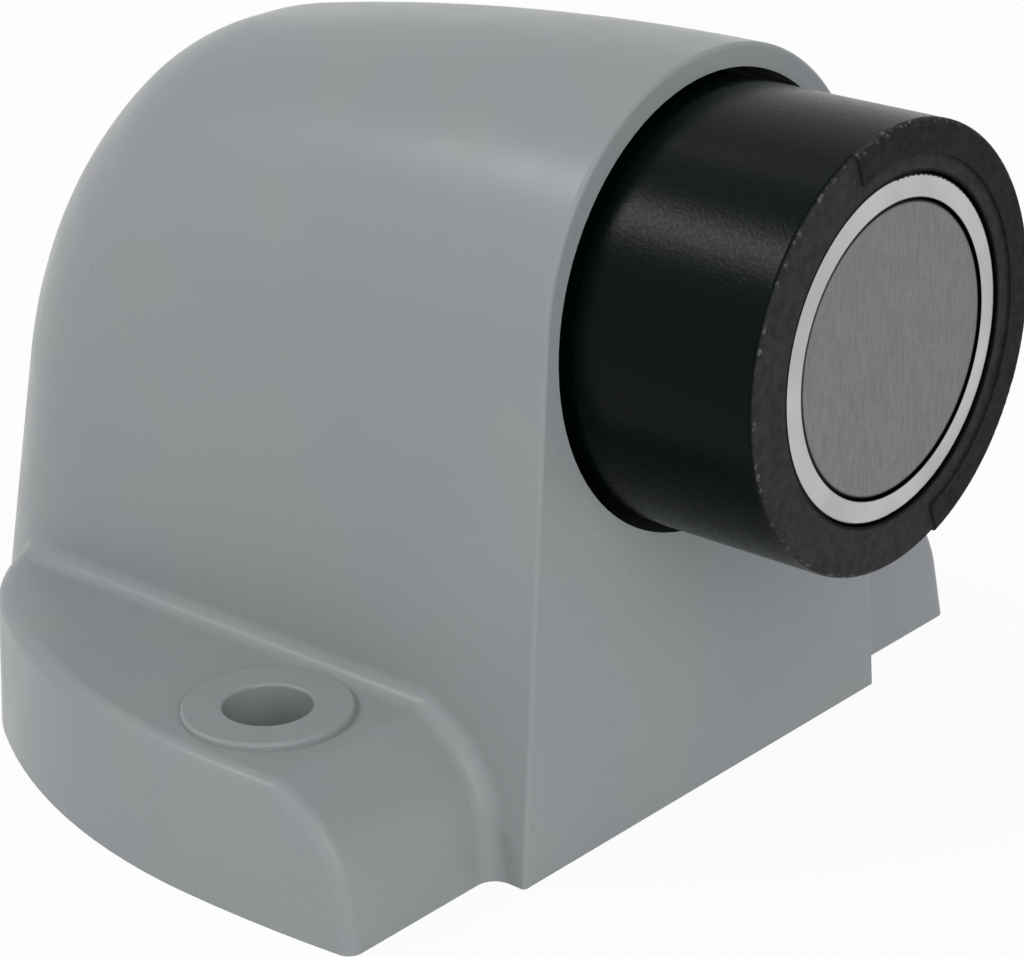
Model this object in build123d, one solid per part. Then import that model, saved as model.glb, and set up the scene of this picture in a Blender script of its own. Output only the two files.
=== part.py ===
from build123d import *
from math import asin, cos, degrees, radians, sin, tan
import os

# Floor-standing magnetic door stop: a painted cast housing with a screw ear on each side,
# and a rubber buffer in its front that carries a pot magnet.
# Millimetres. The origin is on the floor, midway between the two screw holes.
# The front of the door stop faces -Y. A size named set_back runs from its front face.

# Housing, seen from the front: an arch round the buffer's socket, its sides flared to the floor
rim_width = 1.7
side_flare = 4.6
crest_rise = 0.4
crest_half_flat = 0.72

# Housing, seen from the side: crown, shoulder and back are arcs that run into each other
crown_radius = 294.0
crown_turn = 10.4
shoulder_ease = 1.9
shoulder_turn = 31.2
back_radius = 50.0
back_lean = 8.5

# Walls of the casting and the hollows under it
wall = 3.2
front_wall = 4.0
pocket_end_set_back = 56.0
pocket_rounding = 1.5
post_web_thickness = 4.0

# Ears
ear_half_span = 47.4
ear_widest_set_back = 23.7
ear_front_set_back = 3.9
ear_front_radius = 165.0
ear_side_radius = 71.0
ear_back_set_back = 72.5
ear_back_rounding = 24.0
ear_height = 14.4
ear_wall_draft = 3.0
nose_lean = 9.0
nose_radius = 10.0
nose_turn = 51.0
nose_ramp_length = 2.7
nose_crest_radius = 2.5
ear_edge_rounding = 1.5
ear_blend = 2.0
front_edge_rounding = 0.4

# Floor screw holes
screw_half_span = 36.3
screw_set_back = 23.2
screw_hole_radius = 4.2
screw_boss_radius = 8.1
screw_boss_rise = 0.7
screw_boss_rounding = 0.35
screw_hole_rounding = 0.3
screw_post_radius = 7.4

# Buffer
axis_height = 49.2
buffer_radius = 20.7
buffer_projection = 20.3
buffer_gap = 1.0
buffer_edge_rounding = 0.5
socket_depth = 15.0
socket_floor = 4.0
half_ring_width = 3.1
half_ring_rise = 0.35
half_ring_tilt = 19.5

# Pot magnet
cup_radius = 15.75
cup_height = 7.0
cup_floor = 2.2
cup_recess = 0.2
cup_rim_rounding = 0.25
cup_clearance = 0.2
magnet_radius = 13.5
magnet_clearance = 0.15
magnet_recess = 0.15
magnet_edge_chamfer = 0.2
close_fit = 0.04

# Stud and what holds it behind the socket
stud_radius = 3.0
stud_clearance = 0.25
stud_head_radius = 5.0
stud_head_height = 1.2
stud_end_chamfer = 0.6
stud_overhang = 3.0
washer_radius = 9.0
washer_thickness = 1.6
lock_washer_radius = 5.9
lock_washer_thickness = 1.6
lock_washer_split = 0.8
nut_across_flats = 10.0
nut_height = 5.0
nut_chamfer = 0.8

# Drawing room beyond the model for the tools that cut it
room = 120.0

# Places that follow from the sizes above
socket_radius = buffer_radius + buffer_gap
arch_radius = socket_radius + rim_width
front_height = axis_height + arch_radius + crest_rise
base_half_width = arch_radius / cos(radians(side_flare)) + axis_height * tan(radians(side_flare))
top_half_width = base_half_width - front_height * tan(radians(side_flare))
crown_rounding = (top_half_width - crest_half_flat) / (1 / cos(radians(side_flare)) - tan(radians(side_flare)))
shoulder_radius = crown_rounding + shoulder_ease
face_y = -buffer_projection
cup_front_y = face_y + cup_recess
cup_back_y = cup_front_y + cup_height
socket_back_y = socket_depth + socket_floor
pocket_height = ear_height - wall
lock_washer_y = socket_back_y + washer_thickness
nut_y = lock_washer_y + lock_washer_thickness
nut_end_y = nut_y + nut_height


def along_axis(y):
    """A plane square to the buffer's axis, y behind the front face, its Z pointing back."""
    return Plane(origin=(0, y, axis_height), x_dir=(1, 0, 0), z_dir=(0, 1, 0))


def rod(radius, start_y, end_y):
    """A round bar on the buffer's axis from start_y to end_y."""
    return extrude(along_axis(start_y) * Circle(radius), end_y - start_y)


def side_view(step):
    """The housing seen from the side, its crown and back moved in by step."""
    back_turn = 90.0 - back_lean - crown_turn - shoulder_turn
    crown = JernArc((0, front_height - step), (1, 0), crown_radius - step, -crown_turn)
    shoulder = JernArc(crown @ 1, crown % 1, shoulder_radius - step, -shoulder_turn)
    back = JernArc(shoulder @ 1, shoulder % 1, back_radius - step, -back_turn)
    drop = (back @ 1).Y
    heel = (back @ 1) + Vector(drop * tan(radians(back_lean)), -drop)
    outline = Curve() + [crown, shoulder, back, Polyline(back @ 1, heel, (0, 0), (0, front_height - step))]
    return Plane.YZ * make_face(outline)


def front_view(step):
    """The flared sides of the housing seen from the front, moved in by step."""
    foot = base_half_width - step / cos(radians(side_flare))
    top = foot - front_height * tan(radians(side_flare))
    corners = [(-foot, 0), (foot, 0), (top, front_height), (-top, front_height)]
    return Plane.XZ * make_face(Polyline(*corners, close=True))


def body(step, front_y):
    """The arched body moved in by step, from front_y back, its long edges fully rounded."""
    loaf = extrude(side_view(step), room, both=True)
    loaf &= extrude(front_view(step), room, both=True)
    loaf -= Pos(0, front_y - room, 0) * Box(room * 2, room * 2, room * 4)
    long_edges = [e for e in loaf.edges() if abs(e.center().X) > 1 and e.center().Z > 1]
    long_edges = [e for e in long_edges if e.center().Y > front_y + 0.01]
    return fillet(long_edges, crown_rounding - step)


def ear_view(step):
    """The ears seen from above, moved in by step: straight front and back, bowed sides."""
    front_radius = ear_front_radius - step
    side_radius = ear_side_radius - step
    front_y = ear_front_set_back + step
    back_y = ear_back_set_back - step
    front_turn = degrees(asin((ear_widest_set_back - front_y) / front_radius))
    side_turn = degrees(asin((back_y - ear_widest_set_back) / side_radius))
    widest = (ear_half_span - step, ear_widest_set_back)
    front = JernArc(widest, (0, -1), front_radius, -front_turn)
    side = JernArc(widest, (0, 1), side_radius, side_turn)
    half = Curve() + [side, Line(side @ 1, (0, back_y)), front, Line((0, front_y), front @ 1)]
    face = make_face(half + mirror(half, Plane.YZ))
    back_corners = [v for v in face.vertices() if v.Y > back_y - 0.01 and abs(v.X) > 1]
    return fillet(back_corners, ear_back_rounding - step)


def nose_view(step):
    """The ears seen from the side: a front that leans back, rolls over and ramps up to the top."""
    lean_slope = 90 - nose_lean
    ramp_slope = lean_slope - nose_turn
    roll_height = nose_radius * (cos(radians(ramp_slope)) - cos(radians(lean_slope)))
    crest_height = nose_crest_radius * (1 - cos(radians(ramp_slope)))
    rise_height = ear_height - roll_height - nose_ramp_length * sin(radians(ramp_slope)) - crest_height
    start = (ear_front_set_back + step, 0)
    rise = PolarLine(start, rise_height / sin(radians(lean_slope)), lean_slope)
    roll = JernArc(rise @ 1, rise % 1, nose_radius, -nose_turn)
    ramp = PolarLine(roll @ 1, nose_ramp_length, ramp_slope)
    crest = JernArc(ramp @ 1, ramp % 1, nose_crest_radius, -ramp_slope)
    outline = Curve() + [rise, roll, ramp, crest]
    outline += Polyline(crest @ 1, (room, ear_height), (room, 0), start)
    return Plane.YZ * make_face(outline)


def ears():
    """Both ears in one block that runs through the body, their outer edges rounded."""
    block = extrude(ear_view(0), ear_height, taper=ear_wall_draft)
    block &= extrude(nose_view(0), room, both=True)
    rims = [e for e in block.edges() if e.geom_type != GeomType.LINE and (e @ 0.5).Z > 0.01]
    return fillet(rims, ear_edge_rounding)


def distance(solid, point):
    """How far a point lies from the skin of a solid."""
    return min(face.distance_to(point) for face in solid.faces())


def casting():
    """The arched body and its ears as one solid, with cast fillets where they meet."""
    arch = body(0, 0)
    feet = ears()
    whole = arch + feet
    seam = [e for e in whole.edges() if distance(arch, e @ 0.5) < 0.001 and distance(feet, e @ 0.5) < 0.001]
    seam = [e for e in seam if (e @ 0.5).Z > 0.01]
    whole = fillet(seam, ear_blend)
    rim = [e for e in whole.edges() if abs((e @ 0.5).Y) < 0.001 and (e @ 0.5).Z > 0.01]
    return fillet(rim, front_edge_rounding)


def screw_place(side):
    """The point on the floor under one screw hole; side is -1 or 1."""
    return Pos(side * screw_half_span, screw_set_back, 0)


def boss(side):
    """The low round pad on top of an ear."""
    pad = extrude(screw_place(side) * Circle(screw_boss_radius), ear_height + screw_boss_rise)
    pad -= Pos(0, 0, pocket_height - room / 2) * Box(room, room, room)
    return fillet(pad.edges().group_by(Axis.Z)[-1], screw_boss_rounding)


def screw_hole(side):
    """The plain hole through an ear."""
    return extrude(screw_place(side) * Circle(screw_hole_radius), ear_height * 2)


def ear_pocket():
    """The hollows under the right ear, before and behind the screw post and its web."""
    depth = pocket_end_set_back - ear_front_set_back
    beside_body = Pos(base_half_width + room / 2, ear_front_set_back + depth / 2) * Rectangle(room, depth)
    plan = ear_view(wall) & beside_body
    plan = fillet(plan.vertices().group_by(Axis.Y)[-1], pocket_rounding)
    pocket = extrude(plan, pocket_height, taper=ear_wall_draft) & extrude(nose_view(wall), room, both=True)
    pocket -= screw_place(1) * extrude(Circle(screw_post_radius), pocket_height, taper=-ear_wall_draft)
    return pocket - screw_place(1) * Box(room, post_web_thickness, room)


def housing():
    """The whole casting: hollow underneath, with a round socket in its front."""
    cavity = body(wall, front_wall) - rod(socket_radius + wall, 0, socket_back_y)
    pocket = ear_pocket()
    shell = casting() - cavity - pocket - mirror(pocket, Plane.YZ)
    shell -= rod(socket_radius, -front_wall, socket_depth)
    shell -= rod(stud_radius + stud_clearance, socket_depth, socket_back_y + wall)
    for side in (-1, 1):
        shell += boss(side)
        shell -= screw_hole(side)
    mouths = [e for e in shell.edges() if e.geom_type != GeomType.LINE and is_screw_mouth(e)]
    return fillet(mouths, screw_hole_rounding)


def is_screw_mouth(edge):
    """Whether an edge is the top rim of a screw hole."""
    point = edge @ 0.5
    reach = ((abs(point.X) - screw_half_span) ** 2 + (point.Y - screw_set_back) ** 2) ** 0.5
    return point.Z > pocket_height and abs(reach - screw_hole_radius) < 0.01


def buffer_blank(front_y):
    """A rubber cylinder from front_y to the socket's floor, its front edge rounded."""
    blank = rod(buffer_radius, front_y, socket_depth)
    return fillet(blank.edges().group_by(Axis.Y)[0], buffer_edge_rounding)


def rubber_buffer():
    """A thick rubber cylinder with a raised half-ring on its face and a pocket for the magnet."""
    half_plane = along_axis(face_y) * Rot(0, 0, -half_ring_tilt) * Pos(room / 2, 0) * Rectangle(room, room)
    half_ring = buffer_blank(face_y - half_ring_rise) & extrude(half_plane, room, both=True)
    half_ring -= rod(buffer_radius - half_ring_width, -room, socket_depth)
    block = buffer_blank(face_y) + half_ring
    block -= rod(cup_radius + cup_clearance, face_y - cup_height, cup_back_y)
    return block - rod(stud_radius + stud_clearance, face_y, socket_depth)


def magnet_cup():
    """A pressed steel cup round the magnet, holed for the stud's head."""
    cup = rod(cup_radius, cup_front_y, cup_back_y)
    cup = fillet(cup.edges().group_by(Axis.Y)[0], cup_rim_rounding)
    cup -= rod(magnet_radius + magnet_clearance, face_y, cup_back_y - cup_floor)
    cup -= rod(stud_head_radius + close_fit, cup_front_y, cup_back_y - cup_floor + stud_head_height)
    return cup - rod(stud_radius + close_fit, cup_front_y, cup_back_y)


def magnet_disc():
    """The magnet, a flat disc set a little behind the rim of its cup."""
    disc = rod(magnet_radius, cup_front_y + magnet_recess, cup_back_y - cup_floor)
    return chamfer(disc.edges().group_by(Axis.Y)[0], magnet_edge_chamfer)


def threaded_stud():
    """A headed stud that runs back from the cup through rubber and socket floor."""
    head_y = cup_back_y - cup_floor
    end_y = nut_end_y + stud_overhang
    stud = rod(stud_head_radius, head_y, head_y + stud_head_height) + rod(stud_radius, head_y, end_y)
    return chamfer(stud.edges().group_by(Axis.Y)[-1], stud_end_chamfer)


def flat_washer():
    """A wide washer that spreads the load over the socket's floor."""
    washer = rod(washer_radius, socket_back_y, lock_washer_y)
    return washer - rod(stud_radius + stud_clearance, socket_back_y, lock_washer_y)


def lock_washer():
    """A spring washer with one cut, pressed flat by the nut."""
    washer = rod(lock_washer_radius, lock_washer_y, nut_y)
    washer -= rod(stud_radius + stud_clearance, lock_washer_y, nut_y)
    cut = Pos(0, nut_y, axis_height + lock_washer_radius)
    return washer - cut * Box(lock_washer_split, room, lock_washer_radius * 2)


def hex_nut():
    """A six-sided nut, its corners turned down at both ends."""
    corner_radius = nut_across_flats / 2 / cos(radians(30))
    blank = extrude(along_axis(nut_y) * RegularPolygon(corner_radius, 6), nut_height)
    turned = rod(corner_radius, nut_y, nut_end_y)
    turned = chamfer(turned.edges().filter_by(GeomType.CIRCLE), nut_chamfer / 2, nut_chamfer)
    return (blank & turned) - rod(stud_radius + close_fit, nut_y, nut_end_y)


pieces = {
    "housing": housing(),
    "rubber_buffer": rubber_buffer(),
    "magnet_cup": magnet_cup(),
    "magnet_disc": magnet_disc(),
    "threaded_stud": threaded_stud(),
    "flat_washer": flat_washer(),
    "lock_washer": lock_washer(),
    "hex_nut": hex_nut(),
}

os.makedirs("parts", exist_ok=True)
for name, piece in pieces.items():
    placed = Pos(0, -screw_set_back, 0) * piece
    export_step(placed, f"parts/{name}.step")
    print(name, round(piece.volume, 1), "valid" if piece.is_valid else "not valid")
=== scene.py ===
from math import cos, pi, radians, sin
import bpy
import numpy as np
from mathutils import Matrix, Vector


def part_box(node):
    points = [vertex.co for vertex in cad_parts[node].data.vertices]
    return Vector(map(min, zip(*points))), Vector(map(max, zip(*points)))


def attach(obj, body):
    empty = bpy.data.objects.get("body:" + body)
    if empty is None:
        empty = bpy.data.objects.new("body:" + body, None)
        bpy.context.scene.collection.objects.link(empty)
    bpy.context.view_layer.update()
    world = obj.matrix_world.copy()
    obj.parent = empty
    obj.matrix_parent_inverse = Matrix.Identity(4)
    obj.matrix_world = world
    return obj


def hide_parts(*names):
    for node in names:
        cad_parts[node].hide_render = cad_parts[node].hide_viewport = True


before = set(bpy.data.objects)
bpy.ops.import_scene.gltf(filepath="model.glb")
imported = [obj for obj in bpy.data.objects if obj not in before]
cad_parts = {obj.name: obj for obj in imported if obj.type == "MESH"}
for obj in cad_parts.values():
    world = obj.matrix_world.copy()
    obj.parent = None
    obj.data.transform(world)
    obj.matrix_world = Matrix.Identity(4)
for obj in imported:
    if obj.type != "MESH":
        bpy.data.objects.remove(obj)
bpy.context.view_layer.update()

# The view. The door stop is seen from the front left and a little above, from close by.
# Places are in metres, from the spot on the floor midway between the two floor screws, and
# the door stop faces -Y. The lens and the film are in millimetres.
camera_azimuth = radians(48.51)
camera_elevation = radians(22.78)
camera_roll = radians(-1.09)
camera_distance = 0.25
aim_point = Vector((-0.0509, -0.0434, 0.0538))
lens_length = 115.32
film_width = 36
nearest_seen = 0.01

forward = Vector((
    sin(camera_azimuth) * cos(camera_elevation),
    cos(camera_azimuth) * cos(camera_elevation),
    -sin(camera_elevation)))
level_right = Vector((cos(camera_azimuth), -sin(camera_azimuth), 0))
level_up = level_right.cross(forward)
camera_right = cos(camera_roll) * level_right + sin(camera_roll) * level_up
camera_up = cos(camera_roll) * level_up - sin(camera_roll) * level_right
camera_turn = Matrix((camera_right, camera_up, -forward)).transposed().to_4x4()

camera_data = bpy.data.cameras.new("camera")
camera_data.lens = lens_length
camera_data.sensor_width = film_width
camera_data.clip_start = nearest_seen
camera = bpy.data.objects.new("camera", camera_data)
bpy.context.scene.collection.objects.link(camera)
camera.matrix_world = Matrix.Translation(aim_point - forward * camera_distance) @ camera_turn
bpy.context.scene.camera = camera
bpy.context.scene.view_settings.view_transform = "Standard"


# The floor. A sheet of matt white paper runs out of sight on all sides. Seen directly or
# in a reflection it is close to pure white, and the door stop leaves a faint shadow on it.
def linear(code):
    """Turns an sRGB hex colour into linear red, green, blue and alpha."""
    channels = [int(code[i:i + 2], 16) / 255 for i in (1, 3, 5)]
    return [c / 12.92 if c <= 0.04045 else ((c + 0.055) / 1.055) ** 2.4 for c in channels] + [1]


def add_node(tree, kind, sockets, **settings):
    """Adds a node with its settings, and gives each socket its value or the output that feeds it."""
    node = tree.nodes.new(kind)
    for name, value in settings.items():
        setattr(node, name, value)
    for name, value in sockets.items():
        if isinstance(value, bpy.types.NodeSocket):
            tree.links.new(value, node.inputs[name])
        else:
            node.inputs[name].default_value = value
    return node


def backdrop_share(tree, unseen, seen):
    """Gives one number to rays that light the object, and another to those that show the backdrop."""
    path = add_node(tree, "ShaderNodeLightPath", {}).outputs
    rays = add_node(tree, "ShaderNodeMath", {
        0: path["Is Camera Ray"], 1: path["Is Glossy Ray"]}, operation="MAXIMUM")
    rays = add_node(tree, "ShaderNodeMath", {
        0: rays.outputs[0], 1: path["Is Transmission Ray"]}, operation="MAXIMUM")
    span = add_node(tree, "ShaderNodeMapRange", {
        "Value": rays.outputs[0], "To Min": unseen, "To Max": seen})
    return span.outputs["Result"]


floor_half_width = 3.0
floor_corners = floor_half_width * np.array([(-1, -1, 0), (1, -1, 0), (1, 1, 0), (-1, 1, 0)])
floor_mesh = bpy.data.meshes.new("floor")
floor_mesh.from_pydata(floor_corners.tolist(), [], [(0, 1, 2, 3)])
floor = bpy.data.objects.new("floor", floor_mesh)
bpy.context.scene.collection.objects.link(floor)

matt_white_paper = bpy.data.materials.new("matt_white_paper")
matt_white_paper.use_nodes = True
tree = matt_white_paper.node_tree
paper = tree.nodes["Principled BSDF"]
paper.inputs["Base Color"].default_value = linear("#F7F7F7")
paper.inputs["Roughness"].default_value = 0.9
white = add_node(tree, "ShaderNodeEmission", {"Strength": 1})
blend = add_node(tree, "ShaderNodeMixShader", {
    0: backdrop_share(tree, unseen=0, seen=0.93), 1: paper.outputs[0], 2: white.outputs[0]})
tree.links.new(blend.outputs[0], tree.nodes["Material Output"].inputs["Surface"])
floor_mesh.materials.append(matt_white_paper)

# The light. A white surround lights every side about equally. Two soft boxes behind and
# above give the paint its broad sheen and the rubber its bands of light, and two large
# weak ones fill the ears and the front, where the body and the buffer keep light off.
white_surround = bpy.data.worlds.new("white_surround")
white_surround.use_nodes = True
tree = white_surround.node_tree
background = tree.nodes["Background"]
background.inputs["Color"].default_value = (1, 1, 1, 1)
tree.links.new(backdrop_share(tree, unseen=0.46, seen=1), background.inputs["Strength"])
bpy.context.scene.world = white_surround

for name, direction, distance, width, height, watts in (
        ("back_left_box", (-0.44, 0.59, 0.68), 1.0, 0.38, 0.16, 2.6),
        ("back_right_box", (0.18, 0.58, 0.80), 1.0, 0.12, 0.12, 0.09),
        ("front_top_box", (-0.40, -0.70, 0.60), 1.2, 0.70, 0.70, 4.4),
        ("front_low_box", (-0.45, -0.88, 0.10), 1.2, 0.70, 0.70, 3.6)):
    box_data = bpy.data.lights.new(name, "AREA")
    box_data.shape = "RECTANGLE"
    box_data.size = width
    box_data.size_y = height
    box_data.energy = watts
    box = bpy.data.objects.new(name, box_data)
    bpy.context.scene.collection.objects.link(box)
    towards = Vector(direction).normalized()
    facing = towards.to_track_quat("Z", "Y").to_matrix().to_4x4()
    box.matrix_world = Matrix.Translation(aim_point + towards * distance) @ facing


# Housing. A hollow aluminium casting: an arched body with a screw ear on each side and a
# round socket in its front. It is sprayed with a satin grey stoving paint, inside and out.
def dress(node_name, material):
    """Gives a material to every slot of a node that stays as it is."""
    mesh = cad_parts[node_name].data
    for slot in range(len(mesh.materials)):
        mesh.materials[slot] = material


# Stoving paint: an even coat that covers the casting's grain. Its shade drifts a little
# from cool to neutral grey, and the faint orange peel of the spray breaks up its sheen.
paint_drift = 0.028
paint_smear = 0.005
paint_glossiest, paint_dullest = 0.27, 0.33
orange_peel = 0.0013
orange_peel_depth = 0.000005

# Most of a noise's values lie between these two. A colour Mix node has several sockets of
# the same name, so they are taken by number.
noise_low, noise_high = 0.35, 0.65
MIX_A, MIX_B, MIX_COLOUR = 6, 7, 2

stoving_paint = bpy.data.materials.new("satin_grey_stoving_paint")
stoving_paint.use_nodes = True
tree = stoving_paint.node_tree
place = add_node(tree, "ShaderNodeTexCoord", {}).outputs["Object"]
drift = add_node(tree, "ShaderNodeTexNoise", {"Vector": place, "Scale": 1 / paint_drift, "Detail": 2})
share = add_node(tree, "ShaderNodeMapRange", {
    "Value": drift.outputs[0], "From Min": noise_low, "From Max": noise_high})
colour = add_node(tree, "ShaderNodeMix", {
    "Factor": share.outputs[0], MIX_A: linear("#919797"), MIX_B: linear("#919498")}, data_type="RGBA")
smear = add_node(tree, "ShaderNodeTexNoise", {"Vector": place, "Scale": 1 / paint_smear, "Detail": 3})
sheen = add_node(tree, "ShaderNodeMapRange", {
    "Value": smear.outputs[0], "From Min": noise_low, "From Max": noise_high,
    "To Min": paint_glossiest, "To Max": paint_dullest})
peel = add_node(tree, "ShaderNodeTexNoise", {"Vector": place, "Scale": 1 / orange_peel, "Detail": 2})
bump = add_node(tree, "ShaderNodeBump", {"Height": peel.outputs[0], "Distance": orange_peel_depth})
paint = tree.nodes["Principled BSDF"]
paint.inputs["Specular IOR Level"].default_value = 0.16
tree.links.new(colour.outputs[MIX_COLOUR], paint.inputs["Base Color"])
tree.links.new(sheen.outputs[0], paint.inputs["Roughness"])
tree.links.new(bump.outputs[0], paint.inputs["Normal"])
dress("housing", stoving_paint)

# Buffer. A thick cylinder of moulded rubber, pushed into the socket and held there by the
# stud. A half-ring stands proud of its face, and the magnet's cup sits in a pocket in it.
axis_height = 0.0492
buffer_radius = 0.0207
rubber_face_y = -0.0435
half_ring_y = -0.04385
# Radius inside which the rubber round the cup's pocket is painted near-black, as shade in the gap.
gap_shade_radius = 0.0163

# Black rubber: the side is green-black with a leathery grain that scatters a low sheen.
# The face was cut, so it is duller and greyer with fine mottling, and its raised half-ring
# is darker. A near-black ring is painted round the magnet's pocket as shade in the gap by the
# cup. Pale dust clings to its outer edge.
colour_step = 0.0001
grain = 0.0003
grain_depth = 0.000018
rubber_glossiest, rubber_dullest = 0.22, 0.30
face_mottle = 0.0009
face_dullness = 0.4
dust_speck = 0.0006
dust_width = 0.0005
dust_strength = 0.7
dust_starts, dust_full = 0.55, 0.70

black_rubber = bpy.data.materials.new("moulded_black_rubber")
black_rubber.use_nodes = True
tree = black_rubber.node_tree
place = add_node(tree, "ShaderNodeTexCoord", {}).outputs["Object"]
along = add_node(tree, "ShaderNodeSeparateXYZ", {"Vector": place}).outputs["Y"]
across = add_node(tree, "ShaderNodeMapping", {
    "Vector": place, "Location": (0, 0, -axis_height), "Scale": (1, 0, 1)})
radius = add_node(tree, "ShaderNodeVectorMath", {0: across.outputs[0]}, operation="LENGTH").outputs["Value"]
on_face = add_node(tree, "ShaderNodeMapRange", {
    "Value": along,
    "From Min": rubber_face_y + 3 * colour_step, "From Max": rubber_face_y + colour_step}).outputs[0]
on_ring = add_node(tree, "ShaderNodeMapRange", {
    "Value": along,
    "From Min": rubber_face_y - colour_step, "From Max": half_ring_y + colour_step}).outputs[0]
in_gap_shade = add_node(tree, "ShaderNodeMapRange", {
    "Value": radius,
    "From Min": gap_shade_radius, "From Max": gap_shade_radius - 2 * colour_step}).outputs[0]
mottle = add_node(tree, "ShaderNodeTexNoise", {
    "Vector": place, "Scale": 1 / face_mottle, "Detail": 4}).outputs[0]
mottle = add_node(tree, "ShaderNodeMapRange", {
    "Value": mottle, "From Min": noise_low, "From Max": noise_high}).outputs[0]
leather = add_node(tree, "ShaderNodeTexNoise", {
    "Vector": place, "Scale": 1 / grain, "Detail": 3}).outputs[0]
side = add_node(tree, "ShaderNodeMix", {
    "Factor": leather, MIX_A: linear("#000502"), MIX_B: linear("#010C06")}, data_type="RGBA")
face = add_node(tree, "ShaderNodeMix", {
    "Factor": mottle, MIX_A: linear("#272729"), MIX_B: linear("#323234")}, data_type="RGBA")
ring = add_node(tree, "ShaderNodeMix", {
    "Factor": mottle, MIX_A: linear("#19191B"), MIX_B: linear("#242426")}, data_type="RGBA")
front = add_node(tree, "ShaderNodeMix", {
    "Factor": on_ring, MIX_A: face.outputs[MIX_COLOUR], MIX_B: ring.outputs[MIX_COLOUR]}, data_type="RGBA")
# Painted shade: the rubber just round the magnet's cup is mixed to near-black, for the shade in the gap by
# the cup.
front = add_node(tree, "ShaderNodeMix", {
    "Factor": in_gap_shade, MIX_A: front.outputs[MIX_COLOUR], MIX_B: linear("#060606")}, data_type="RGBA")
clean = add_node(tree, "ShaderNodeMix", {
    "Factor": on_face, MIX_A: side.outputs[MIX_COLOUR], MIX_B: front.outputs[MIX_COLOUR]}, data_type="RGBA")
specks = add_node(tree, "ShaderNodeTexNoise", {
    "Vector": place, "Scale": 1 / dust_speck, "Detail": 2}).outputs[0]
specks = add_node(tree, "ShaderNodeMapRange", {
    "Value": specks, "From Min": dust_starts, "From Max": dust_full, "To Max": dust_strength}).outputs[0]
at_edge = add_node(tree, "ShaderNodeMapRange", {
    "Value": radius,
    "From Min": buffer_radius - dust_width, "From Max": buffer_radius - dust_width / 2}).outputs[0]
at_edge = add_node(tree, "ShaderNodeMath", {0: at_edge, 1: on_face}, operation="MULTIPLY").outputs[0]
dusted = add_node(tree, "ShaderNodeMath", {0: at_edge, 1: specks}, operation="MULTIPLY").outputs[0]
colour = add_node(tree, "ShaderNodeMix", {
    "Factor": dusted, MIX_A: clean.outputs[MIX_COLOUR], MIX_B: linear("#6A6B6E")}, data_type="RGBA")
polish = add_node(tree, "ShaderNodeMapRange", {
    "Value": leather, "From Min": noise_low, "From Max": noise_high,
    "To Min": rubber_glossiest, "To Max": rubber_dullest}).outputs[0]
dullness = add_node(tree, "ShaderNodeMath", {
    0: on_face, 1: face_dullness, 2: polish}, operation="MULTIPLY_ADD")
bump = add_node(tree, "ShaderNodeBump", {"Height": leather, "Distance": grain_depth})
rubber = tree.nodes["Principled BSDF"]
rubber.inputs["Specular IOR Level"].default_value = 0.07
tree.links.new(colour.outputs[MIX_COLOUR], rubber.inputs["Base Color"])
tree.links.new(dullness.outputs[0], rubber.inputs["Roughness"])
tree.links.new(bump.outputs[0], rubber.inputs["Normal"])
dress("rubber_buffer", black_rubber)

# Cup of the magnet. A cup pressed from steel sheet, barrel plated, and set into the
# rubber's pocket. Only its flat rim shows, as a bright ring round the magnet.
cup_bore_radius = 0.01365

# Plated steel: pale and bright where it is clean, greyer where the plating is cloudy, with
# the fine rings of a turned rim. The wall inside the rim is painted near-black as shade in the
# gap round the magnet. Blender's rings repeat 20 times in 2 pi units.
cloud = 0.008
cloudy_roughness, clean_roughness = 0.38, 0.32
turned_ring = 0.0004
turned_ring_depth = 0.000004
rings_per_unit = 20 / (2 * pi)

plated_steel = bpy.data.materials.new("barrel_plated_steel")
plated_steel.use_nodes = True
tree = plated_steel.node_tree
place = add_node(tree, "ShaderNodeTexCoord", {}).outputs["Object"]
across = add_node(tree, "ShaderNodeMapping", {
    "Vector": place, "Location": (0, 0, -axis_height), "Scale": (1, 0, 1)})
radius = add_node(tree, "ShaderNodeVectorMath", {0: across.outputs[0]}, operation="LENGTH").outputs["Value"]
clouds = add_node(tree, "ShaderNodeTexNoise", {"Vector": place, "Scale": 1 / cloud, "Detail": 5}).outputs[0]
clouds = add_node(tree, "ShaderNodeMapRange", {
    "Value": clouds, "From Min": noise_low, "From Max": noise_high}).outputs[0]
plating = add_node(tree, "ShaderNodeMix", {
    "Factor": clouds, MIX_A: linear("#B0B1B3"), MIX_B: linear("#BFC0C1")}, data_type="RGBA")
# Painted shade: the bore inside the rim is near-black, for the shade in the narrow gap round the magnet.
painted_bore_shade = add_node(tree, "ShaderNodeMapRange", {
    "Value": radius, "From Min": cup_bore_radius + colour_step, "From Max": cup_bore_radius}).outputs[0]
colour = add_node(tree, "ShaderNodeMix", {
    "Factor": painted_bore_shade, MIX_A: plating.outputs[MIX_COLOUR], MIX_B: linear("#101010")}, data_type="RGBA")
shine = add_node(tree, "ShaderNodeMapRange", {
    "Value": clouds, "To Min": cloudy_roughness, "To Max": clean_roughness}).outputs[0]
rings = add_node(tree, "ShaderNodeTexWave", {
    "Vector": across.outputs[0], "Scale": 1 / (turned_ring * rings_per_unit), "Distortion": 0.8,
    "Detail": 3}, wave_type="RINGS", rings_direction="Y").outputs["Fac"]
bump = add_node(tree, "ShaderNodeBump", {"Height": rings, "Distance": turned_ring_depth})
steel = tree.nodes["Principled BSDF"]
steel.inputs["Metallic"].default_value = 1
tree.links.new(colour.outputs[MIX_COLOUR], steel.inputs["Base Color"])
tree.links.new(shine, steel.inputs["Roughness"])
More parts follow.
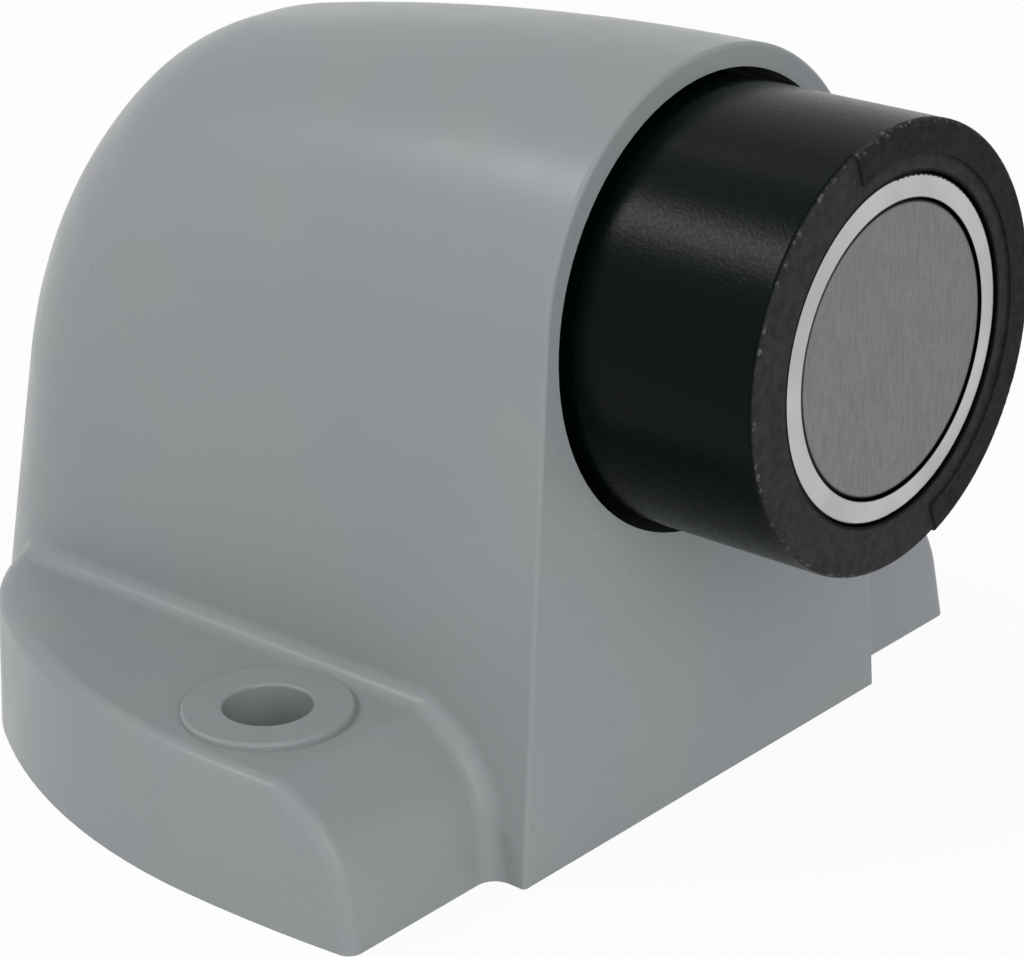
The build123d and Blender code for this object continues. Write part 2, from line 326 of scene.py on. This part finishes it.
tree.links.new(bump.outputs[0], steel.inputs["Normal"])
dress("magnet_cup", plated_steel)

# Magnet. A flat disc of sintered magnet, glued into its cup a little behind the rim, and
# ground on its face.
magnet_radius = 0.0135

# Ground magnet: dull warm grey. The wheel left fine streaks up and down the face, crossed
# by fainter ones, drawn coarser than the real grit so that they show. Its rim is painted dark as
# shade in the gap to the cup.
grit = 0.0003
grit_depth = 0.000003
upright_squeeze = 0.12
crossing_squeeze = 0.24
crossing_strength = 0.5
grinding_low, grinding_high = 0.60, 0.90
valley_roughness, crest_roughness = 0.56, 0.50
rim_shade_width = 0.0004

ground_magnet = bpy.data.materials.new("ground_sintered_magnet")
ground_magnet.use_nodes = True
tree = ground_magnet.node_tree
place = add_node(tree, "ShaderNodeTexCoord", {}).outputs["Object"]
across = add_node(tree, "ShaderNodeMapping", {
    "Vector": place, "Location": (0, 0, -axis_height), "Scale": (1, 0, 1)})
radius = add_node(tree, "ShaderNodeVectorMath", {0: across.outputs[0]}, operation="LENGTH").outputs["Value"]
upright = add_node(tree, "ShaderNodeMapping", {"Vector": place, "Scale": (1, 1, upright_squeeze)}).outputs[0]
level = add_node(tree, "ShaderNodeMapping", {"Vector": place, "Scale": (crossing_squeeze, 1, 1)}).outputs[0]
streaks = add_node(tree, "ShaderNodeTexNoise", {
    "Vector": upright, "Scale": 1 / grit, "Detail": 4}).outputs[0]
crossing = add_node(tree, "ShaderNodeTexNoise", {
    "Vector": level, "Scale": 1 / grit, "Detail": 4}).outputs[0]
grinding = add_node(tree, "ShaderNodeMath", {
    0: crossing, 1: crossing_strength, 2: streaks}, operation="MULTIPLY_ADD").outputs[0]
grinding = add_node(tree, "ShaderNodeMapRange", {
    "Value": grinding, "From Min": grinding_low, "From Max": grinding_high}).outputs[0]
ground = add_node(tree, "ShaderNodeMix", {
    "Factor": grinding, MIX_A: linear("#737170"), MIX_B: linear("#7D7B79")}, data_type="RGBA")
# Painted shade: a dark band round the face's rim, for the shade in the gap between magnet and cup.
painted_rim_shade = add_node(tree, "ShaderNodeMapRange", {
    "Value": radius,
    "From Min": magnet_radius - rim_shade_width, "From Max": magnet_radius - rim_shade_width / 2}).outputs[0]
colour = add_node(tree, "ShaderNodeMix", {
    "Factor": painted_rim_shade, MIX_A: ground.outputs[MIX_COLOUR], MIX_B: linear("#161514")}, data_type="RGBA")
dullness = add_node(tree, "ShaderNodeMapRange", {
    "Value": grinding, "To Min": valley_roughness, "To Max": crest_roughness}).outputs[0]
bump = add_node(tree, "ShaderNodeBump", {"Height": grinding, "Distance": grit_depth})
magnet = tree.nodes["Principled BSDF"]
magnet.inputs["Metallic"].default_value = 0.7
tree.links.new(colour.outputs[MIX_COLOUR], magnet.inputs["Base Color"])
tree.links.new(dullness, magnet.inputs["Roughness"])
tree.links.new(bump.outputs[0], magnet.inputs["Normal"])
dress("magnet_disc", ground_magnet)

# Washers and nut. Stock steel fixings behind the socket's floor: a wide flat washer, a
# spring washer with one cut, and a hexagon nut, all zinc plated.
fixings = ("flat_washer", "lock_washer", "hex_nut")

# Zinc plating: a pale metal with a cloudy bloom, and the small dents that the pieces give
# each other in the plating drum.
bloom = 0.0025
bloomed_roughness, bare_roughness = 0.42, 0.28
drum_mark = 0.0006
drum_mark_depth = 0.000008

zinc_plating = bpy.data.materials.new("zinc_plated_steel")
zinc_plating.use_nodes = True
tree = zinc_plating.node_tree
place = add_node(tree, "ShaderNodeTexCoord", {}).outputs["Object"]
clouds = add_node(tree, "ShaderNodeTexNoise", {"Vector": place, "Scale": 1 / bloom, "Detail": 4}).outputs[0]
clouds = add_node(tree, "ShaderNodeMapRange", {
    "Value": clouds, "From Min": noise_low, "From Max": noise_high}).outputs[0]
colour = add_node(tree, "ShaderNodeMix", {
    "Factor": clouds, MIX_A: linear("#A3A5A4"), MIX_B: linear("#C3C4C0")}, data_type="RGBA")
shine = add_node(tree, "ShaderNodeMapRange", {
    "Value": clouds, "To Min": bloomed_roughness, "To Max": bare_roughness}).outputs[0]
marks = add_node(tree, "ShaderNodeTexNoise", {
    "Vector": place, "Scale": 1 / drum_mark, "Detail": 2}).outputs[0]
bump = add_node(tree, "ShaderNodeBump", {"Height": marks, "Distance": drum_mark_depth})
zinc = tree.nodes["Principled BSDF"]
zinc.inputs["Metallic"].default_value = 1
tree.links.new(colour.outputs[MIX_COLOUR], zinc.inputs["Base Color"])
tree.links.new(shine, zinc.inputs["Roughness"])
tree.links.new(bump.outputs[0], zinc.inputs["Normal"])
for fixing in fixings:
    dress(fixing, zinc_plating)

# Stud. A zinc plated steel screw with a flat round head in the floor of the cup. It runs
# back through the rubber and the socket's floor, and its rolled thread takes the nut.
stud_head_height = 0.0012
stud_head_chamfer = 0.0002
stud_shank_radius = 0.003
stud_end_chamfer = 0.0006
thread_pitch = 0.001
thread_depth = 0.00054
thread_length = 0.018
thread_flat = 0.125
rows_per_pitch = 16
columns_round = 72
sharp_edge = radians(25)


def rolled_thread(profile_y, profile_radius, start_y):
    """A turned profile with a thread cut into its shank, as rows along y and columns round it.

    The radius is the profile's, less a groove that deepens over the first pitch after start_y.
    The groove follows distance along the axis less the share of the turn: flat at crest and
    root, and straight between them.
    """
    turn = np.arange(columns_round) / columns_round
    along = (profile_y[:, None] - start_y) / thread_pitch
    wave = np.abs(2 * ((along - turn[None, :]) % 1) - 1)
    groove = np.clip((1 - thread_flat - wave) / (1 - 2 * thread_flat), 0, 1) * np.clip(along, 0, 1)
    threaded = np.minimum(profile_radius[:, None], stud_shank_radius - thread_depth * groove)
    radius = np.where(along > 0, threaded, profile_radius[:, None])
    return np.stack([
        radius * np.sin(2 * pi * turn),
        np.repeat(profile_y[:, None], columns_round, axis=1),
        axis_height + radius * np.cos(2 * pi * turn)], axis=-1)


stud_low, stud_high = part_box("threaded_stud")
stud_front, stud_end = stud_low.y, stud_high.y
head_radius = (stud_high.x - stud_low.x) / 2
head_back = stud_front + stud_head_height
thread_start = stud_end - thread_length
cone_start = stud_end - stud_end_chamfer
row_count = int(round(thread_length / thread_pitch * rows_per_pitch)) + 1
thread_rows = np.linspace(thread_start, stud_end, row_count)
head_y = [
    stud_front, stud_front + stud_head_chamfer, head_back - stud_head_chamfer, head_back, head_back]
head_profile = [
    head_radius - stud_head_chamfer, head_radius, head_radius, head_radius - stud_head_chamfer,
    stud_shank_radius]
shank_profile = stud_shank_radius - np.clip(thread_rows - cone_start, 0, None)
profile_y = np.concatenate([head_y, thread_rows])
profile_radius = np.concatenate([head_profile, shank_profile])
grid = rolled_thread(profile_y, profile_radius, thread_start)

rows, columns = np.meshgrid(np.arange(len(profile_y) - 1), np.arange(columns_round), indexing="ij")
here = rows * columns_round + columns
beside = rows * columns_round + (columns + 1) % columns_round
quads = np.stack([here, beside, beside + columns_round, here + columns_round], axis=-1).reshape(-1, 4)
front_end = np.arange(columns_round)[::-1]
back_end = np.arange(columns_round) + (len(profile_y) - 1) * columns_round

stud_mesh = bpy.data.meshes.new("stud")
stud_mesh.from_pydata(
    grid.reshape(-1, 3).tolist(), [], quads.tolist() + [front_end.tolist(), back_end.tolist()])
stud_mesh.polygons.foreach_set("use_smooth", [True] * len(stud_mesh.polygons))
stud_mesh.set_sharp_from_angle(angle=sharp_edge)
stud_mesh.materials.append(zinc_plating)
stud = bpy.data.objects.new("stud", stud_mesh)
bpy.context.scene.collection.objects.link(stud)
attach(stud, "root")
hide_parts("threaded_stud")
